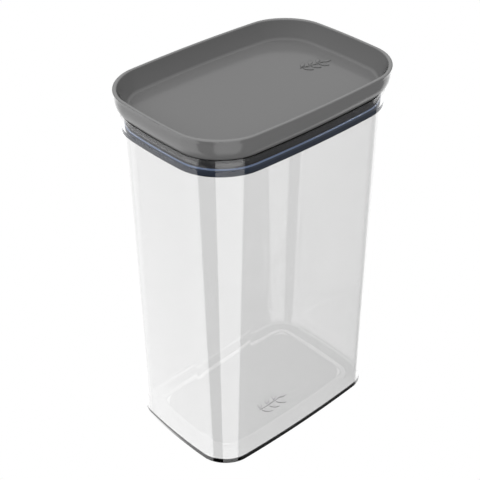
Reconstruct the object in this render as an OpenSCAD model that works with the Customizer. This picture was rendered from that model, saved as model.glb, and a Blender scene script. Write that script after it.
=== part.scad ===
// Storage canister with a tray-shaped lid: a clear, drafted rectangular container with bowed
// sides, and a lift-off lid made of a tray shell, a plug with a skirt, and a silicone seal.
// Origin: centre of the underside. +X runs along the long side, +Z up. Millimetres.

/* [Container] */
// Height of the container from the table to its lip
lip_z = 211.2; // [150:0.1:260]
// Width of the container at the table
base_w = 132.5; // [126:0.1:138]
// Depth of the container at the table
base_d = 88.8; // [84:0.1:94]
// Corner radius of the container at the table
base_r = 16.5; // [14:0.1:20]
// Width of the container at its lip
mouth_w = 142.8; // [142:0.1:144]
// Depth of the container at its lip
mouth_d = 99.8; // [99:0.1:101]
// Corner radius of the container at its lip
mouth_r = 27; // [24:0.1:30]
// Thickness of the container's walls
wall = 2.1; // [1.9:0.1:2.3]
// Thickness of the container's floor
floor_t = 2.5; // [1.8:0.1:3]
// Outside radius where the walls meet the table
heel_r = 1; // [0.6:0.1:2]
// Inside radius where the walls meet the floor
floor_fillet = 0.6; // [0.6:0.1:3]
// Distance from the container's outside to the low bead on its floor
bead_in = 10.2; // [8:0.1:14]
// Width of the bead
bead_w = 3.4; // [1.6:0.1:4]
// Height of the bead
bead_h = 0.4; // [0.2:0.05:0.8]

/* [Lid] */
// Height of the closed canister
total_h = 225; // [222:0.1:228]
// Width over the lid's rim
rim_w = 146.3; // [145.5:0.1:148]
// Depth over the lid's rim
rim_d = 102.7; // [102:0.1:104]
// Corner radius of the lid's rim
rim_r = 24.8; // [23:0.1:27]
// Thickness of the rolled rim
rim_t = 1.8; // [1.4:0.1:2.2]
// How far the tray's outside leans in from rim to foot
bowl_in = 3.7; // [3.4:0.1:4]
// Depth of the tray from its rim to its floor
tray_depth = 10.8; // [10:0.1:11.8]
// How far the tray's inside leans in from the rim
tray_in = 6.3; // [6:0.1:6.6]
// Radius between the tray's wall and its floor
tray_fillet = 2.2; // [1.5:0.1:3]

/* [Plug and seal] */
// Thickness of the plug's flange, which rests on the container's lip
flange_t = 0.3; // [0.3:0.1:0.8]
// Thickness of the plate above the plug's hollow
plate_t = 1.6; // [1.2:0.1:2]
// Depth of the skirt below the container's lip
skirt_h = 9.8; // [9:0.1:12]
// Thickness of the skirt's wall
skirt_t = 2.9; // [2.6:0.1:3.4]
// Gap between the skirt and the container's wall
skirt_gap = 0.3; // [0.3:0.05:0.6]
// Height of the seal
seal_h = 4.3; // [3.5:0.1:5.5]
// Depth of the groove that holds the seal
groove_d = 1.2; // [1:0.1:1.5]
// Gap between the relaxed seal and the container's wall
seal_gap = 0.1; // [0.1:0.05:0.25]

/* [Outline] */
// How far the long sides bow out at the table
bow_long_base = 2.4; // [0:0.1:3]
// How far the long sides bow out at the lip and the rim
bow_long = 3.1; // [2:0.1:4]
// How far the short sides bow out
bow_short = 2.7; // [2:0.1:3.5]
// Steps around each corner
corner_steps = 10; // [6:2:12]
// Steps along each side
side_steps = 6; // [4:2:8]

/* [Hidden] */
tray_foot_z = lip_z + flange_t;
tray_floor_z = total_h - tray_depth;
skirt_z = lip_z - skirt_h;
skirt_in = wall + skirt_gap;
seal_z = skirt_z + 0.4;
bead_corner_r = 8;
// how much of an inset the corner radius loses: little on the tray's outside, all inside it
outside_turn = 0.15;
inside_turn = 1;

// Points of one outline at height z: a rounded rectangle pushed out parabolically on all
// four sides. Every outline has the same number of points, so outlines can be joined.
function corner_arc(cx, cy, r, from) =
    [for (i = [0 : corner_steps]) let (a = from + 90 * i / corner_steps)
        [cx + r * cos(a), cy + r * sin(a)]];
function side(p, q) =
    [for (i = [1 : side_steps - 1]) p + (q - p) * i / side_steps];
function rounded(w, d, r) =
    let (x = w / 2 - r, y = d / 2 - r)
    concat(
        corner_arc(x, y, r, 0), side([x, y + r], [-x, y + r]),
        corner_arc(-x, y, r, 90), side([-x - r, y], [-x - r, -y]),
        corner_arc(-x, -y, r, 180), side([-x, -y - r], [x, -y - r]),
        corner_arc(x, -y, r, 270), side([x + r, -y], [x + r, y]));
function bowed(w, d, r, bow_l, bow_s, z) =
    let (w0 = w - 2 * bow_s, d0 = d - 2 * bow_l)
    [for (p = rounded(w0, d0, r))
        [p.x * (1 + 2 * bow_s / w0 * (1 - pow(2 * p.y / d0, 2))),
         p.y * (1 + 2 * bow_l / d0 * (1 - pow(2 * p.x / w0, 2))), z]];

function mix(a, b, t) = a + (b - a) * t;

// The container's outline at height z, moved in from its outside by inset.
function body_ring(inset, z) =
    let (t = z / lip_z)
    bowed(mix(base_w, mouth_w, t) - 2 * inset, mix(base_d, mouth_d, t) - 2 * inset,
        max(mix(base_r, mouth_r, t) - inset, bead_corner_r),
        mix(bow_long_base, bow_long, t), bow_short, z);

// The lid's outline at height z, moved in from the rim by inset. turn says how much the
// corner radius shrinks with the inset.
function lid_ring(inset, z, turn) =
    bowed(rim_w - 2 * inset, rim_d - 2 * inset, rim_r - turn * inset, bow_long, bow_short, z);

// A closed skin through a list of outlines, given from the underside outwards and up. With
// loop = true the last outline joins the first, which makes a ring. Otherwise the first and
// the last outline are closed by flat caps.
module skin(rings, loop = false) {
    n = len(rings[0]);
    count = len(rings);
    sides = [for (k = [0 : count - (loop ? 1 : 2)], i = [0 : n - 1])
        let (up = (k + 1) % count, next = (i + 1) % n)
        [k * n + i, up * n + i, up * n + next, k * n + next]];
    caps = loop ? [] : [
        [for (i = [0 : n - 1]) i],
        [for (i = [n - 1 : -1 : 0]) (count - 1) * n + i]];
    polyhedron([for (r = rings, p = r) p], concat(sides, caps), 10);
}

// [inset, z] points of a quarter circle from angle a to angle b about [cx, cz]
function round_profile(cx, cz, r, a, b, steps) =
    [for (i = [0 : steps]) let (t = mix(a, b, i / steps)) [cx + r * cos(t), cz + r * sin(t)]];

// The clear container, from its underside around the heel, up the outside, over the lip,
// down the inside, and across the floor and its bead
module body() {
    lip_r = 0.5;
    lip_inner_r = 0.1;
    bead_steps = 4;
    fillet_x = wall + floor_fillet;
    bead = [for (i = [0 : bead_steps])
        [bead_in + bead_w * i / bead_steps,
         floor_t + bead_h * (1 - cos(360 * i / bead_steps)) / 2]];
    profile = concat(
        round_profile(heel_r, heel_r, heel_r, 270, 180, 5),
        round_profile(lip_r, lip_z - lip_r, lip_r, 180, 90, 3),
        round_profile(wall - lip_inner_r, lip_z - lip_inner_r, lip_inner_r, 90, 0, 2),
        round_profile(fillet_x, floor_t + floor_fillet, floor_fillet, 180, 270, 4),
        bead);
    color([0.9, 0.93, 0.94, 0.35])
        skin([for (p = profile) body_ring(p[0], p[1])]);
}

// The grey tray: a bowl-shaped wall with a thin rolled rim, open at the top
module lid_tray() {
    bowl_steps = 8;
    // how late the wall turns in towards its foot
    bowl_bend = 3.4;
    rim_under = 0.4;
    rim_edge = 0.8;
    // where the wall ends and the rim's outer edge begins
    bowl_top = total_h - 2.3;
    // the tray's wall leans 15 degrees
    inner_from = 195;
    outer = [for (i = [0 : bowl_steps]) let (t = 1 - i / bowl_steps)
        [mix(rim_under, bowl_in, pow(t, bowl_bend)), mix(bowl_top, tray_foot_z, t)]];
    rim = concat(
        round_profile(rim_edge, total_h - rim_edge, rim_edge, 180, 90, 3),
        round_profile(rim_t - rim_edge, total_h - rim_edge, rim_edge, 90, 0, 3));
    inner = round_profile(tray_in + tray_fillet, tray_floor_z + tray_fillet, tray_fillet,
        inner_from, 270, 5);
    color([0.36, 0.36, 0.36])
        skin(concat(
            [for (p = concat(outer, rim)) lid_ring(p[0], p[1], outside_turn)],
            [for (p = inner) lid_ring(p[0], p[1], inside_turn)]));
}

// The dark plug under the tray: a flange on the container's lip, and a skirt with a groove
// for the seal, hollow from below
module lid_plug() {
    flange_in = 1.8;
    edge = 0.4;
    inside = skirt_in + skirt_t;
    groove_in = skirt_in + groove_d;
    profile = [
        [inside, tray_foot_z - plate_t], [inside, skirt_z], [skirt_in + edge, skirt_z],
        [skirt_in, skirt_z + edge], [skirt_in, seal_z], [groove_in, seal_z],
        [groove_in, seal_z + seal_h], [skirt_in, seal_z + seal_h],
        [skirt_in, lip_z], [flange_in, lip_z], [flange_in, tray_foot_z]];
    color([0.1, 0.1, 0.105])
        skin([for (p = profile) body_ring(p[0], p[1])]);
}

// The silicone seal: a band in the skirt's groove that stands out towards the container's
// wall, with sloped edges
module gasket() {
    edge = 0.4;
    back = skirt_in + groove_d;
    face = wall + seal_gap;
    profile = [
        [back, seal_z], [skirt_in, seal_z], [face, seal_z + edge],
        [face, seal_z + seal_h - edge], [skirt_in, seal_z + seal_h], [back, seal_z + seal_h]];
    color([0.32, 0.37, 0.43])
        skin([for (p = profile) body_ring(p[0], p[1])], loop = true);
}

body();
lid_tray();
lid_plug();
gasket();
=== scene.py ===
"""A lidded storage canister: clear bowed container, grey tray lid, dark plug and bluish seal."""
import math

import bmesh
import bpy
from mathutils import Matrix, Vector


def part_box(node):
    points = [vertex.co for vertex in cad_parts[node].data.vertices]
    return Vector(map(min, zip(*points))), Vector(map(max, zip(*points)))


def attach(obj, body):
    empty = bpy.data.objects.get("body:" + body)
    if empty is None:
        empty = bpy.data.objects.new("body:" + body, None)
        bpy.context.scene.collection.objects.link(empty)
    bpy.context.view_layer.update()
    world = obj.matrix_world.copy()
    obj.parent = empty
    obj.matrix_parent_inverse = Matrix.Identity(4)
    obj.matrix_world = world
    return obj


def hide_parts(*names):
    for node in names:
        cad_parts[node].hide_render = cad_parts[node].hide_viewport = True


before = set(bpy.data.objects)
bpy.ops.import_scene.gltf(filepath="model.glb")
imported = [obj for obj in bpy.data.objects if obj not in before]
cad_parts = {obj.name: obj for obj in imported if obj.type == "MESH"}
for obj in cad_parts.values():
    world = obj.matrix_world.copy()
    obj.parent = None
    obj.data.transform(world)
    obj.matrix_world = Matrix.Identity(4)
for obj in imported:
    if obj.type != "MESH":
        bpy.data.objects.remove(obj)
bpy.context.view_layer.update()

MM = 0.001

# ---------------------------------------------------------------- sizes, in millimetres
BODY_LOW, BODY_HIGH = (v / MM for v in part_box("body"))
LID_LOW, LID_HIGH = (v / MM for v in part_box("lid_tray"))
LIP_Z = BODY_HIGH.z
MOUTH_W, MOUTH_D = BODY_HIGH.x - BODY_LOW.x, BODY_HIGH.y - BODY_LOW.y
TOTAL_H = LID_HIGH.z
TRAY_FOOT_Z = LID_LOW.z
RIM_W, RIM_D = LID_HIGH.x - LID_LOW.x, LID_HIGH.y - LID_LOW.y

# the container: its outline, its walls, the low bead on its floor and its lip
BASE_W, BASE_D, BASE_R, MOUTH_R = 132.5, 88.8, 16.5, 27.0
WALL, FLOOR_T, HEEL_R, FLOOR_FILLET = 2.1, 2.5, 1.0, 0.6
BEAD_IN, BEAD_W, BEAD_H, BEAD_CORNER_R = 10.2, 3.4, 0.4, 8.0
LIP_R, LIP_INNER_R = 0.5, 0.1
# the tray: its rolled rim, its outside, and its inside; the fillet stops some degrees short of
# upright, and the wall above it leans out further, to the rim
RIM_R, RIM_T, RIM_EDGE = 24.8, 1.8, 0.8
BOWL_IN, BOWL_BEND, BOWL_TOP_Z, RIM_UNDER = 3.7, 3.4, TOTAL_H - 2.3, 0.4
TRAY_FLOOR_Z, TRAY_IN, TRAY_FILLET, FILLET_LEAN = TOTAL_H - 10.8, 6.3, 2.2, 15
# how much of an inset the corner radius loses: little on the tray's outside, all inside it
OUTSIDE_TURN, INSIDE_TURN = 0.15, 1.0
# the plug: its skirt and the skirt's lower edge, its flange and its plate
SKIRT_IN, SKIRT_T, SKIRT_Z = 2.4, 2.9, LIP_Z - 9.8
SKIRT_EDGE_W, SKIRT_EDGE_H = 0.4, 0.3
FLANGE_IN, PLATE_T = 1.8, 1.6
# the seal: its groove, how far it is pressed into the wall, its slopes and its upper band, painted
# paler as if lit through
SEAL_Z, SEAL_H, GROOVE_D, SEAL_TOUCH = SKIRT_Z + 0.4, 4.3, 1.2, 0.02
FIN_T, FIN_SLOPE = 0.5, 0.4
# how far the sides bow out
BOW_LONG_BASE, BOW_LONG, BOW_SHORT = 2.4, 3.1, 2.7
# the marks: centre x and y, floor z, length, turn in degrees, and rise
BASE_MARK = (-3.2, -18.3, FLOOR_T, 24, 0, 0.35)
LID_MARK = (47.2, 1.2, TRAY_FLOOR_Z, 21, -11, 0.5)
MARK_SINK = 0.05

# ---------------------------------------------------------------- mesh detail
CORNER_STEPS, SIDE_STEPS = 24, 20
HEEL_STEPS, LIP_STEPS, LIP_INNER_STEPS, FLOOR_FILLET_STEPS, BEAD_STEPS = 10, 6, 4, 8, 12
BOWL_STEPS, RIM_STEPS, TRAY_FILLET_STEPS = 24, 8, 10
WALL_ROWS = [h / 10 for h in range(1, 10)]
# extra outlines stand this far from a curve or an edge, so that what is flat shades flat
HOLD, PLUG_HOLD = 0.25, 0.2
SHARP_ANGLE = 35
# the leaf's outlines above the floor: share of its size, and share of its rise
LEAF_STEPS, LEAF_LAYERS = 32, ((1.0, 0.5), (0.93, 0.9), (0.84, 1.0))


# ---------------------------------------------------------------- outlines
def mix(a, b, t):
    return a + (b - a) * t


def rounded(w, d, r):
    """A rounded rectangle, counter-clockwise from the +X+Y corner, with a fixed number of points."""
    x, y = w / 2 - r, d / 2 - r
    centres = ((x, y), (-x, y), (-x, -y), (x, -y))
    points = []
    for k, (cx, cy) in enumerate(centres):
        start = math.radians(90 * k)
        for i in range(CORNER_STEPS + 1):
            a = start + math.radians(90) * i / CORNER_STEPS
            points.append(Vector((cx + r * math.cos(a), cy + r * math.sin(a))))
        corner_end = points[-1]
        next_x, next_y = centres[(k + 1) % 4]
        turn = start + math.radians(90)
        side_end = Vector((next_x + r * math.cos(turn), next_y + r * math.sin(turn)))
        points += [corner_end.lerp(side_end, i / SIDE_STEPS) for i in range(1, SIDE_STEPS)]
    return points


def bowed(w, d, r, bow_long, bow_short, z):
    """The rounded rectangle with all four sides pushed out parabolically, at height z."""
    w0, d0 = w - 2 * bow_short, d - 2 * bow_long
    ring = []
    for p in rounded(w0, d0, r):
        x = p.x * (1 + 2 * bow_short / w0 * (1 - (2 * p.y / d0) ** 2))
        y = p.y * (1 + 2 * bow_long / d0 * (1 - (2 * p.x / w0) ** 2))
        ring.append(Vector((x, y, z)) * MM)
    return ring


def body_ring(inset, z):
    """The container's outline at height z, moved in from its outside by inset."""
    t = z / LIP_Z
    return bowed(
        mix(BASE_W, MOUTH_W, t) - 2 * inset, mix(BASE_D, MOUTH_D, t) - 2 * inset,
        max(mix(BASE_R, MOUTH_R, t) - inset, BEAD_CORNER_R),
        mix(BOW_LONG_BASE, BOW_LONG, t), BOW_SHORT, z)


def lid_ring(inset, z, turn):
    """The rim's outline at height z, moved in by inset; the corner radius shrinks by turn * inset."""
    return bowed(RIM_W - 2 * inset, RIM_D - 2 * inset, RIM_R - turn * inset, BOW_LONG, BOW_SHORT, z)


def arc(cx, cz, r, a, b, steps):
    """(inset, z) points of a circle's arc from angle a to angle b, in degrees."""
    turns = [math.radians(mix(a, b, i / steps)) for i in range(steps + 1)]
    return [(cx + r * math.cos(t), cz + r * math.sin(t)) for t in turns]


# ---------------------------------------------------------------- mesh building
def loft(bm, rings, loop=False):
    """Adds a closed skin through a list of outlines, from the underside outwards and up."""
    rows = [[bm.verts.new(p) for p in ring] for ring in rings]
    n = len(rows[0])
    pairs = list(zip(rows, rows[1:])) + ([(rows[-1], rows[0])] if loop else [])
    for low, high in pairs:
        for i in range(n):
            j = (i + 1) % n
            bm.faces.new((low[i], low[j], high[j], high[i]))
    if not loop:
        bm.faces.new(list(reversed(rows[0])))
        bm.faces.new(rows[-1])


def skin(name, rings, loop=False, extras=()):
    """One mesh of a main skin and any small raised shapes that sit on it."""
    bm = bmesh.new()
    loft(bm, rings, loop)
    for shape in extras:
        loft(bm, shape)
    for f in bm.faces:
        f.smooth = True
    mesh = bpy.data.meshes.new(name)
    bm.normal_update()
    bm.to_mesh(mesh)
    bm.free()
    mesh.set_sharp_from_angle(angle=math.radians(SHARP_ANGLE))
    piece = bpy.data.objects.new(name, mesh)
    bpy.context.scene.collection.objects.link(piece)
    return piece


def floor_bead():
    """(inset, z) points over the low rounded bead that frames the floor panel."""
    return [
        (BEAD_IN + BEAD_W * i / BEAD_STEPS,
         FLOOR_T + BEAD_H * (1 - math.cos(math.radians(360 * i / BEAD_STEPS))) / 2)
        for i in range(BEAD_STEPS + 1)]


def body_profile():
    """(inset, z) points: underside, heel, outside, lip, inside, floor fillet and floor."""
    fillet_x = WALL + FLOOR_FILLET
    fillet_z = FLOOR_T + FLOOR_FILLET
    low, high = HEEL_R + HOLD, LIP_Z - LIP_R - HOLD
    return (
        [(HEEL_R + 2 * HOLD, 0), (HEEL_R + HOLD, 0)]
        + arc(HEEL_R, HEEL_R, HEEL_R, 270, 180, HEEL_STEPS)
        + [(0, low)] + [(0, mix(low, high, t)) for t in WALL_ROWS] + [(0, high)]
        + arc(LIP_R, LIP_Z - LIP_R, LIP_R, 180, 90, LIP_STEPS)
        + arc(WALL - LIP_INNER_R, LIP_Z - LIP_INNER_R, LIP_INNER_R, 90, 0, LIP_INNER_STEPS)
        + [(WALL, high)] + [(WALL, mix(high, fillet_z + HOLD, t)) for t in WALL_ROWS]
        + [(WALL, fillet_z + HOLD)]
        + arc(fillet_x, fillet_z, FLOOR_FILLET, 180, 270, FLOOR_FILLET_STEPS)
        + [(fillet_x + HOLD, FLOOR_T), (BEAD_IN - HOLD, FLOOR_T)] + floor_bead()
        + [(BEAD_IN + BEAD_W + HOLD, FLOOR_T)])


def tray_profile():
    """(inset, z, turn) points: underside, outside, rolled rim, inside and tray floor."""
    outer = []
    for i in range(BOWL_STEPS + 1):
        t = 1 - i / BOWL_STEPS
        outer.append((mix(RIM_UNDER, BOWL_IN, t ** BOWL_BEND), mix(BOWL_TOP_Z, TRAY_FOOT_Z, t)))
    foot = outer[0][0]
    edge_z = TOTAL_H - RIM_EDGE
    rim = (
        arc(RIM_EDGE, edge_z, RIM_EDGE, 180, 90, RIM_STEPS)
        + arc(RIM_T - RIM_EDGE, edge_z, RIM_EDGE, 90, 0, RIM_STEPS))
    fillet_x, fillet_z = TRAY_IN + TRAY_FILLET, TRAY_FLOOR_Z + TRAY_FILLET
    inner = arc(fillet_x, fillet_z, TRAY_FILLET, 180 + FILLET_LEAN, 270, TRAY_FILLET_STEPS)
    end_x, end_z = inner[-1]
    outside = [(foot + HOLD, TRAY_FOOT_Z)] + outer + rim
    inside = inner + [(end_x + HOLD, end_z)]
    return [(x, z, OUTSIDE_TURN) for x, z in outside] + [(x, z, INSIDE_TURN) for x, z in inside]


def plug_profile():
    """(inset, z) points: underside of the plate, skirt, groove for the seal, and flange."""
    inside, top = SKIRT_IN + SKIRT_T, TRAY_FOOT_Z - PLATE_T
    back = SKIRT_IN + GROOVE_D
    return [
        (inside + PLUG_HOLD, top), (inside, top), (inside, SKIRT_Z),
        (SKIRT_IN + SKIRT_EDGE_W, SKIRT_Z), (SKIRT_IN, SKIRT_Z + SKIRT_EDGE_H),
        (SKIRT_IN, SEAL_Z), (back, SEAL_Z), (back, SEAL_Z + SEAL_H),
        (SKIRT_IN, SEAL_Z + SEAL_H), (SKIRT_IN, LIP_Z), (FLANGE_IN, LIP_Z),
        (FLANGE_IN, TRAY_FOOT_Z), (FLANGE_IN + PLUG_HOLD, TRAY_FOOT_Z)]


def gasket_profile():
    """A band in the skirt's groove that is pressed lightly against the container's wall."""
    back, face = SKIRT_IN + GROOVE_D, WALL - SEAL_TOUCH
    high = SEAL_Z + SEAL_H
    return [
        (back, SEAL_Z), (SKIRT_IN, SEAL_Z), (face, SEAL_Z + FIN_SLOPE),
        (face, SEAL_Z + FIN_T + FIN_SLOPE), (face, high - FIN_T - FIN_SLOPE),
        (face, high - FIN_SLOPE), (SKIRT_IN, high), (back, high)]


def leaf(cx, cy, z, length, width, turn, height):
    """Outlines of a low pointed leaf lying at height z, its long axis turned by an angle."""
    rings = []
    c, s = math.cos(math.radians(turn)), math.sin(math.radians(turn))
    layers = [(1.0, -MARK_SINK)] + [(size, share * height) for size, share in LEAF_LAYERS]
    for size, rise in layers:
        ring = []
        for i in range(LEAF_STEPS):
            a = math.radians(360 * i / LEAF_STEPS)
            x = length / 2 * size * math.cos(a)
            y = width / 2 * size * math.sin(a) * abs(math.sin(a)) ** 0.5
            ring.append(Vector((cx + c * x - s * y, cy + s * x + c * y, z + rise)) * MM)
        rings.append(ring)
    return rings


def sprig(cx, cy, z, length, turn, height):
    """A plain sprig of leaves: the generic mark on the lid and on the container's floor."""
    c, s = math.cos(math.radians(turn)), math.sin(math.radians(turn))
    # the leaves below are laid out on a sprig that is 20 units long
    unit = length / 20

    def place(along, across, long, wide, angle):
        x, y = along * unit, across * unit
        centre = (cx + c * x - s * y, cy + s * x + c * y)
        return leaf(*centre, z, long * unit, wide * unit, turn + angle, height)

    stem = place(-1.5, 0, 16, 0.8, 0)
    tip = place(8, 0, 5.0, 2.4, 0)
    shapes = [stem, tip]
    for k in range(3):
        for side in (-1, 1):
            shapes.append(place(-6.0 + 5.0 * k, side * 2.9, 5.8, 2.4, side * 45))
    return shapes


# ---------------------------------------------------------------- node trees
class Nodes:
    """Short calls for building a node tree."""

    def __init__(self, tree):
        self.tree = tree

    def new(self, kind, **values):
        node = self.tree.nodes.new(kind)
        for key, value in values.items():
            setattr(node, key, value)
        return node

    def link(self, a, b):
        self.tree.links.new(a, b)

    def feed(self, sources, sockets):
        """Sets each socket to a number, or links it to another node's output."""
        for source, socket in zip(sources, sockets):
            if isinstance(source, (int, float)):
                socket.default_value = source
            else:
                self.link(source, socket)

    def math(self, operation, *sources):
        node = self.new("ShaderNodeMath", operation=operation)
        self.feed(sources, node.inputs)
        return node.outputs[0]

    def product(self, first, *others):
        """Multiplies two or more values; the first one is always a node's output."""
        for other in others:
            first = self.math("MULTIPLY", first, other)
        return first

    def ramp(self, value, low, high, to_low=0.0, to_high=1.0):
        """Goes softly from one number to another while the value goes from low to high."""
        node = self.new("ShaderNodeMapRange", interpolation_type="SMOOTHSTEP")
        ends = (("From Min", low), ("From Max", high), ("To Min", to_low), ("To Max", to_high))
        for key, number in ends:
            node.inputs[key].default_value = number
        self.link(value, node.inputs["Value"])
        return node.outputs[0]

    def fade(self, value, low, high):
        """Goes softly from one to zero while the value goes from low to high."""
        return self.ramp(value, low, high, 1.0, 0.0)

    def noise(self, coord, scale, low, high):
        """Soft noise between low and high. scale is in waves per metre."""
        node = self.new("ShaderNodeTexNoise")
        node.inputs["Scale"].default_value = scale
        self.link(coord, node.inputs["Vector"])
        return self.ramp(node.outputs["Fac"], 0.25, 0.75, low, high)

    def blend(self, factor, a, b):
        node = self.new("ShaderNodeMix")
        self.feed((factor, a, b), (node.inputs["Factor"], node.inputs["A"], node.inputs["B"]))
        return node.outputs[0]

    def blend_color(self, factor, a, b):
        node = self.new("ShaderNodeMix", data_type="RGBA")
        self.link(factor, node.inputs["Factor"])
        colors = [socket for socket in node.inputs if socket.type == "RGBA"]
        colors[0].default_value, colors[1].default_value = a, b
        return next(socket for socket in node.outputs if socket.type == "RGBA")

    def blend_shader(self, factor, a, b):
        node = self.new("ShaderNodeMixShader")
        self.feed((factor, a, b), node.inputs)
        return node.outputs[0]

    def grey(self, value):
        """A colour whose three channels are the same value."""
        node = self.new("ShaderNodeCombineColor")
        self.feed((value, value, value), node.inputs)
        return node.outputs[0]

    def object_coord(self):
        return self.new("ShaderNodeTexCoord").outputs["Object"]

    def position(self, axes="XYZ"):
        """The point's own coordinates in the piece, in millimetres, along the given axes."""
        split = self.new("ShaderNodeSeparateXYZ")
        self.link(self.object_coord(), split.inputs[0])
        return [self.math("DIVIDE", split.outputs[axis], MM) for axis in axes]

    def met(self, depth, count=1):
        """1 where the ray has met at least so many surfaces of a kind on its way, otherwise 0."""
        path = self.new("ShaderNodeLightPath")
        return self.math("GREATER_THAN", path.outputs[depth], count - 0.5)


# ---------------------------------------------------------------- materials
# The clear wall's tint, the painted shade of the floor's panel, the painted highlight of its bead,
# and the tint under its mark
WALL_TINT, PANEL_SHADE, BEAD_PAINTED_GLINT, MARK_TINT = 0.865, 0.14, 0.10, 0.99
# How softly the zones of the floor start and end, and between what heights, in millimetres
ZONE_BLUR, BEAD_BLUR = 0.2, 0.8
UPPER_FLOOR_Z, OVER_BEAD_Z, FLOOR_BLUR = FLOOR_T / 2, FLOOR_T + BEAD_H + 0.2, 0.4
# Directions over the floor: away from the photo's camera (x share to one of y), and to its left
AWAY_X, LEFT_X, LEFT_Y = 0.8, -0.74, 0.67
# How deep the lip is drawn as a thin see-through sheet, in millimetres
LIP_DEPTH, LIP_BLUR = 5.4, 0.1
# A painted glow, standing in for light caught in the wall, fades in between these heights, in
# millimetres
PAINTED_GLOW_LOW, PAINTED_GLOW_HIGH = 12.0, 14.0
# The grain of the plastic and the silicone, in metres
RELIEF_DEPTH = 0.0001
# The tray's grey, the painted highlight that makes its rim lighter, and the darker grey of its foot,
# a painted shade
GREY, RIM_PAINTED_HIGHLIGHT, FOOT_PAINTED_SHADE_GREY = 0.21, 0.05, 0.15
# the plug's charcoal, and the black painted as shade in its seam
CHARCOAL, SEAM_PAINTED_SHADE = (0.03, 0.03, 0.032), (0.01, 0.01, 0.01, 1)
# the seal's blue, darkened partly by painted shade, and the paler blue of its upper band, a painted
# light
SEAL_BLUE_AND_SHADE, SEAL_PAINTED_LIGHT = (0.06, 0.075, 0.11, 1), (0.26, 0.34, 0.54, 1)


def new_material(name):
    """A material, calls for its node tree, and its main shader."""
    mat = bpy.data.materials.new(name)
    mat.use_nodes = True
    return mat, Nodes(mat.node_tree), mat.node_tree.nodes["Principled BSDF"]


def add_bump(n, shader, scale, strength):
    """Fine surface relief from noise in object space. scale is in waves per metre."""
    noise = n.new("ShaderNodeTexNoise")
    noise.inputs["Scale"].default_value = scale
    noise.inputs["Detail"].default_value = 3.0
    bump = n.new("ShaderNodeBump")
    bump.inputs["Strength"].default_value = strength
    bump.inputs["Distance"].default_value = RELIEF_DEPTH
    n.link(n.object_coord(), noise.inputs["Vector"])
    n.link(noise.outputs["Fac"], bump.inputs["Height"])
    n.link(bump.outputs["Normal"], shader.inputs["Normal"])


def vary(n, shader, socket, scale, low, high):
    """Drives a shader value around the middle of low and high with soft noise."""
    noise = n.new("ShaderNodeTexNoise")
    noise.inputs["Scale"].default_value = scale
    noise.inputs["Detail"].default_value = 2.0
    span = n.new("ShaderNodeMapRange")
    span.inputs["To Min"].default_value = low
    span.inputs["To Max"].default_value = high
    n.link(n.object_coord(), noise.inputs["Vector"])
    n.link(noise.outputs["Fac"], span.inputs["Value"])
    n.link(span.outputs["Result"], shader.inputs[socket])


def inside_base(n, x, y):
    """How far a point lies inside the bowed base outline, up to the bead's corner centres."""
    bow_x = n.product(y, y, BOW_SHORT / (BASE_D / 2) ** 2)
    bow_y = n.product(x, x, BOW_LONG_BASE / (BASE_W / 2) ** 2)
    depth_x = n.math("SUBTRACT", BASE_W / 2, n.math("ADD", n.math("ABSOLUTE", x), bow_x))
    depth_y = n.math("SUBTRACT", BASE_D / 2, n.math("ADD", n.math("ABSOLUTE", y), bow_y))
    reach = BEAD_IN + BEAD_CORNER_R
    gap_x = n.math("MAXIMUM", n.math("SUBTRACT", reach, depth_x), 0)
    gap_y = n.math("MAXIMUM", n.math("SUBTRACT", reach, depth_y), 0)
    squares = n.math("ADD", n.product(gap_x, gap_x), n.product(gap_y, gap_y))
    return n.math("SUBTRACT", reach, n.math("SQRT", squares))


def floor_look(n, x, y, z, inset):
    """The clear wall's tint with painted shade and a painted highlight on the floor, and a mask of
    the floor's panel.
    """
    upper = n.ramp(z, UPPER_FLOOR_Z, UPPER_FLOOR_Z + FLOOR_BLUR)
    floor = n.product(n.fade(z, OVER_BEAD_Z, OVER_BEAD_Z + FLOOR_BLUR), upper)
    inner = BEAD_IN + BEAD_W
    panel = n.product(floor, n.ramp(inset, inner - ZONE_BLUR, inner + ZONE_BLUR))
    bead_start = n.ramp(inset, BEAD_IN, BEAD_IN + BEAD_BLUR)
    bead = n.product(floor, bead_start, n.fade(inset, inner - ZONE_BLUR, inner + ZONE_BLUR))
    # painted shade: the floor around the bead is lighter towards the front than towards the back
    back = n.ramp(n.math("MULTIPLY_ADD", x, AWAY_X, y), -8.0, 12.0, 0.1, 1.0)
    around = n.product(n.fade(inset, BEAD_IN, BEAD_IN + BEAD_BLUR), n.ramp(inset, WALL + 1, WALL + 3))
    ring = n.product(floor, around, back)
    # painted shade darkens the floor's panel and the floor around the bead
    shade = n.product(n.math("ADD", panel, ring), PANEL_SHADE)
    # painted highlight: the bead glints mostly on its far side, and not along its front
    glint = n.product(bead, back, n.ramp(y, -26.0, -20.0, 0.0, BEAD_PAINTED_GLINT))
    tint = n.math("ADD", n.math("SUBTRACT", WALL_TINT, shade), glint)
    # the raised mark adds no tint of its own to the floor under it
    above = n.ramp(z, FLOOR_T + 0.01, FLOOR_T + 0.02)
    below = n.product(n.fade(z, FLOOR_T - 0.03, FLOOR_T - 0.02), upper)
    mark = n.product(n.math("ADD", above, below), n.ramp(inset, inner + 0.5, inner + 1.0))
    return n.blend(mark, tint, MARK_TINT), panel


def thin_sheet(n):
    """A sheet that mirrors like the wall and shows what is straight behind it."""
    # Schlick's rule for a refractive index of 1.5
    facing = n.new("ShaderNodeLayerWeight").outputs["Facing"]
    shine = n.math("MULTIPLY_ADD", n.math("POWER", facing, 5.0), 0.96, 0.04)
    gloss = n.new("ShaderNodeBsdfGlossy")
    gloss.inputs["Roughness"].default_value = 0.0
    return n.blend_shader(shine, n.new("ShaderNodeBsdfTransparent").outputs[0], gloss.outputs[0])


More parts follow.
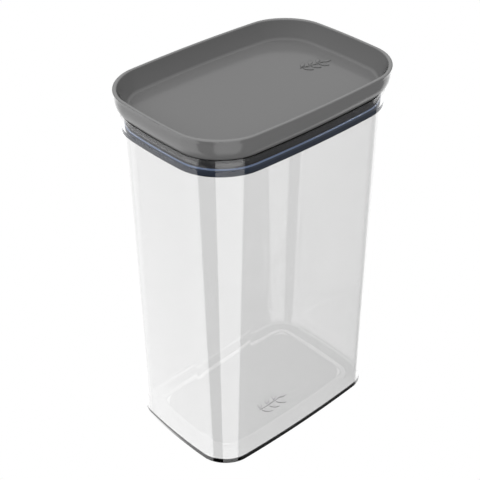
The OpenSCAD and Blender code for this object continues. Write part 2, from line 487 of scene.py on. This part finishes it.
def painted_glow_mask(n, x, y, z, inset):
    """Where the wall is drawn bright without light on it: a painted glow."""
    # painted glow: where light stays caught inside the walls it is drawn bright, as light caught in
    # clear plastic comes out bright
    direct = n.math("SUBTRACT", 1.0, n.met("Diffuse Depth"))
    caught = n.product(n.met("Glossy Depth", 2), direct, n.ramp(z, PAINTED_GLOW_LOW, PAINTED_GLOW_HIGH))
    # painted light: a glow over the dark line along the heel makes it fade out towards the corner
    # leftmost in the camera's view
    left = n.math("MULTIPLY_ADD", x, LEFT_X, n.product(y, LEFT_Y))
    heel = n.product(n.fade(z, 2.0, 2.6), n.fade(inset, 1.0, 1.6))
    painted_heel_light = n.product(heel, n.ramp(left, 36.0, 68.0, 0.0, 0.9))
    return n.math("MAXIMUM", caught, painted_heel_light)


def clear_material():
    """Clear plastic with a thin lip and patches of painted glow; its floor panel is a little darker
    by painted shade, and softly textured.
    """
    mat, n, shader = new_material("clear_wall")
    shader.inputs["Transmission Weight"].default_value = 1.0
    shader.inputs["IOR"].default_value = 1.5
    coord = n.object_coord()
    x, y, z = n.position()
    inset = inside_base(n, x, y)
    tint, panel = floor_look(n, x, y, z, inset)
    n.link(n.grey(tint), shader.inputs["Base Color"])
    haze = n.noise(coord, 45.0, 0.0, 0.012)
    n.link(n.math("ADD", haze, n.product(panel, 0.005)), shader.inputs["Roughness"])
    bump = n.new("ShaderNodeBump")
    bump.inputs["Strength"].default_value = 0.02
    bump.inputs["Distance"].default_value = 0.0002
    n.link(n.noise(coord, 30.0, 0.0, 1.0), bump.inputs["Height"])
    n.link(bump.outputs["Normal"], shader.inputs["Normal"])
    lip_start = LIP_Z - LIP_DEPTH
    lip = n.ramp(z, lip_start - LIP_BLUR, lip_start)
    wall = n.blend_shader(lip, shader.outputs[0], thin_sheet(n))
    # a painted glow: white emission where the mask is set
    glow = n.new("ShaderNodeEmission").outputs[0]
    whole = n.blend_shader(painted_glow_mask(n, x, y, z, inset), wall, glow)
    output = next(node for node in n.tree.nodes if node.type == "OUTPUT_MATERIAL")
    n.link(whole, output.inputs["Surface"])
    return mat


def plastic_material(name, color, rough_low, rough_high):
    """Plastic with a fine grain and slightly uneven gloss."""
    mat, n, shader = new_material(name)
    shader.inputs["Base Color"].default_value = (*color, 1)
    add_bump(n, shader, 3500.0, 0.08)
    vary(n, shader, "Roughness", 60.0, rough_low, rough_high)
    return mat, n, shader


def shell_material():
    """Satin grey plastic, glossier on the rolled rim and paler there by a painted highlight, duller
    at its foot and darker there by painted shade.
    """
    mat, n, shader = plastic_material("grey_shell", (GREY, GREY, GREY), 0.11, 0.16)
    z, = n.position("Z")
    facing = n.new("ShaderNodeSeparateXYZ")
    n.link(n.new("ShaderNodeTexCoord").outputs["Normal"], facing.inputs[0])
    rim = n.ramp(z, TOTAL_H - 1.0, TOTAL_H - 0.4)
    # the tray's floor is nearly as low as the foot, but it faces up and keeps its shine
    inside = n.ramp(facing.outputs["Z"], 0.05, 0.2, 0.0, 0.3)
    outside = n.ramp(z, TRAY_FOOT_Z + 2.2, TRAY_FOOT_Z + 6.0, 0.0, 0.3)
    shine = n.math("MAXIMUM", outside, inside)
    n.link(n.math("ADD", shine, n.product(rim, 0.7)), shader.inputs["Specular IOR Level"])
    # painted shade darkens the foot, and a painted highlight lightens the rim
    painted_light_tone = n.ramp(z, TRAY_FOOT_Z - 0.5, TRAY_FOOT_Z + 3.0, FOOT_PAINTED_SHADE_GREY, GREY)
    painted_light_tone = n.math("ADD", painted_light_tone, n.product(rim, RIM_PAINTED_HIGHLIGHT))
    n.link(n.grey(painted_light_tone), shader.inputs["Base Color"])
    return mat


def plug_material():
    """Charcoal plastic, painted black as shade in the narrow seam between the tray and the
    container's lip.
    """
    mat, n, shader = plastic_material("dark_plug", CHARCOAL, 0.3, 0.4)
    z, = n.position("Z")
    # painted shade: the skirt turns black and loses its shine in the seam
    seam = n.ramp(z, LIP_Z - 0.6, LIP_Z - 0.3)
    n.link(n.blend(seam, 0.45, 0.0), shader.inputs["Specular IOR Level"])
    n.link(n.blend_color(seam, (*CHARCOAL, 1), SEAM_PAINTED_SHADE), shader.inputs["Base Color"])
    return mat


def silicone_material():
    """Bluish silicone, partly darkened by painted shade, with its thin upper edge painted paler as
    light coming through it.
    """
    mat, n, shader = new_material("silicone")
    add_bump(n, shader, 2500.0, 0.1)
    vary(n, shader, "Roughness", 80.0, 0.35, 0.5)
    z, = n.position("Z")
    edge = SEAL_Z + SEAL_H - FIN_SLOPE - FIN_T
    painted_lit_band = n.ramp(z, edge - 0.1, edge + 0.1)
    n.link(n.blend_color(painted_lit_band, SEAL_BLUE_AND_SHADE, SEAL_PAINTED_LIGHT), shader.inputs["Base Color"])
    # a band pressed on the clear wall has no air gap in front of it, so hardly any shine
    n.link(n.blend(n.met("Transmission Depth"), 0.2, 0.03), shader.inputs["Specular IOR Level"])
    return mat


# ---------------------------------------------------------------- pieces
def finish_piece(piece, node, body, mat):
    """Gives a piece its material, hides the node it stands for, and attaches it to what it moves
    with.
    """
    piece.data.materials.append(mat)
    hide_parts(node)
    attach(piece, body)


def make_pieces():
    """The container, the tray, the plug and the seal."""
    body_rings = [body_ring(x, z) for x, z in body_profile()]
    clear = skin("clear_container", body_rings, extras=sprig(*BASE_MARK))
    finish_piece(clear, "body", "canister", clear_material())
    tray_rings = [lid_ring(*p) for p in tray_profile()]
    tray = skin("tray_shell", tray_rings, extras=sprig(*LID_MARK))
    finish_piece(tray, "lid_tray", "lid", shell_material())
    plug = skin("plug_skirt", [body_ring(x, z) for x, z in plug_profile()])
    finish_piece(plug, "lid_plug", "lid", plug_material())
    seal = skin("silicone_seal", [body_ring(x, z) for x, z in gasket_profile()], loop=True)
    finish_piece(seal, "gasket", "lid", silicone_material())


# ---------------------------------------------------------------- camera
# Fitted to the photo: angles in degrees, distance and shifts in millimetres
CAM_AZIMUTH, CAM_ELEVATION, CAM_ROLL = -41.96, 34.58, -0.473
CAM_DISTANCE, CAM_LENS, CAM_SENSOR = 659.4, 83.7, 36.0
CAM_SHIFT_RIGHT, CAM_SHIFT_UP = -8.74, 3.98


def make_camera():
    """The photo's camera, which looks at a point near the middle of the canister."""
    a, e, roll = (math.radians(v) for v in (CAM_AZIMUTH, CAM_ELEVATION, CAM_ROLL))
    back = Vector((math.sin(a) * math.cos(e), -math.cos(a) * math.cos(e), math.sin(e)))
    level = Vector((math.cos(a), math.sin(a), 0))
    rise = back.cross(level)
    right = level * math.cos(roll) + rise * math.sin(roll)
    up = rise * math.cos(roll) - level * math.sin(roll)
    aim = Vector((0, 0, TOTAL_H / 2)) + level * CAM_SHIFT_RIGHT + Vector((0, 0, CAM_SHIFT_UP))
    data = bpy.data.cameras.new("camera")
    data.lens = CAM_LENS
    data.sensor_width = CAM_SENSOR
    data.clip_start, data.clip_end = 0.01, 50.0
    camera = bpy.data.objects.new("camera", data)
    bpy.context.scene.collection.objects.link(camera)
    turn = Matrix((right, up, back)).transposed().to_4x4()
    camera.matrix_world = Matrix.Translation((aim + back * CAM_DISTANCE) * MM) @ turn
    bpy.context.scene.camera = camera


# ---------------------------------------------------------------- light and floor
# Panels seen in reflections: (compass direction in degrees from +X towards +Y, half width,
# strength at the low end and at the high end of that range, share left inside clear walls)
PANELS = (
    (48.0, 66.0, 2.0, 2.0, 0.6),
    (-49.0, 31.0, 0.2, 0.2, 1.0),
    (148.5, 34.5, 1.9, 2.9, 1.0),
    (-116.5, 26.5, 2.8, 2.8, 1.0),
)
SOFT_EDGE = 1.0
# Ramps over elevation: two heights in degrees and the values there, 0 and 1 where none are given.
# The panels hang below the horizon, because upright walls mirror what lies there for a camera
# that looks down. The floor isn't seen in mirrors.
PANEL_TOP, PANEL_FOOT, PANEL_END = (-22.0, -12.0, 1.0, 0.0), (-75.0, -42.0, 0.15, 1.0), (-80.0, -78.0)
MIRROR_SKY, LIGHT_SKY = (-10.0, 40.0, 0.04, 0.9), (-5.0, 40.0, 0.15, 1.25)
SIDE_LIGHT = 0.25


def make_world():
    """White behind everything, soft light on the pieces, and panels in what mirrors show."""
    world = bpy.data.worlds.new("studio")
    bpy.context.scene.world = world
    world.use_nodes = True
    world.cycles.sampling_method = "NONE"
    world.node_tree.nodes.clear()
    n = Nodes(world.node_tree)
    split = n.new("ShaderNodeSeparateXYZ")
    n.link(n.new("ShaderNodeTexCoord").outputs["Generated"], split.inputs[0])
    x, y, z = split.outputs
    azimuth = n.product(n.math("ARCTAN2", y, x), 180 / math.pi)
    elevation = n.product(n.math("ARCSINE", z), 180 / math.pi)
    in_wall = n.met("Transmission Depth")
    mirror = n.ramp(elevation, *MIRROR_SKY)
    height = n.product(n.ramp(elevation, *PANEL_TOP), n.ramp(elevation, *PANEL_FOOT),
                       n.ramp(elevation, *PANEL_END))
    for centre, half, low, high, share in PANELS:
        off = n.math("WRAP", n.math("SUBTRACT", azimuth, centre), 180, -180)
        inside = n.fade(n.math("ABSOLUTE", off), half - SOFT_EDGE, half + SOFT_EDGE)
        glow = n.product(inside, n.ramp(off, -half, half, low, high), n.blend(in_wall, 1.0, share))
        mirror = n.math("ADD", mirror, n.product(glow, height))
    side = n.math("MULTIPLY_ADD", n.math("SUBTRACT", y, x), SIDE_LIGHT, 1.0)
    light = n.product(n.ramp(elevation, *LIGHT_SKY), side)
    value = n.blend(n.met("Glossy Depth"), n.blend(n.met("Diffuse Depth"), 1.0, light), mirror)
    background = n.new("ShaderNodeBackground")
    n.link(value, background.inputs["Strength"])
    output = n.new("ShaderNodeOutputWorld")
    n.link(background.outputs[0], output.inputs["Surface"])


# Half the floor's width and how far it lies below the container, in metres
FLOOR_HALF, FLOOR_DROP = 6.0, 0.00005
FLOOR_LIGHT = 0.6


def make_floor():
    """A white floor that lights the pieces from below and isn't seen in mirrors."""
    bm = bmesh.new()
    bmesh.ops.create_grid(bm, x_segments=1, y_segments=1, size=FLOOR_HALF)
    mesh = bpy.data.meshes.new("floor")
    bm.to_mesh(mesh)
    bm.free()
    floor = bpy.data.objects.new("floor", mesh)
    floor.location.z = -FLOOR_DROP
    bpy.context.scene.collection.objects.link(floor)
    mat = bpy.data.materials.new("floor")
    mat.use_nodes = True
    mat.node_tree.nodes.clear()
    n = Nodes(mat.node_tree)
    glow = n.new("ShaderNodeEmission")
    n.link(n.blend(n.met("Diffuse Depth"), 1.0, FLOOR_LIGHT), glow.inputs["Strength"])
    clear = n.new("ShaderNodeBsdfTransparent")
    output = n.new("ShaderNodeOutputMaterial")
    surface = n.blend_shader(n.met("Glossy Depth"), glow.outputs[0], clear.outputs[0])
    n.link(surface, output.inputs["Surface"])
    mesh.materials.append(mat)


make_camera()
make_pieces()
make_floor()
make_world()
bpy.context.scene.view_settings.view_transform = "Standard"
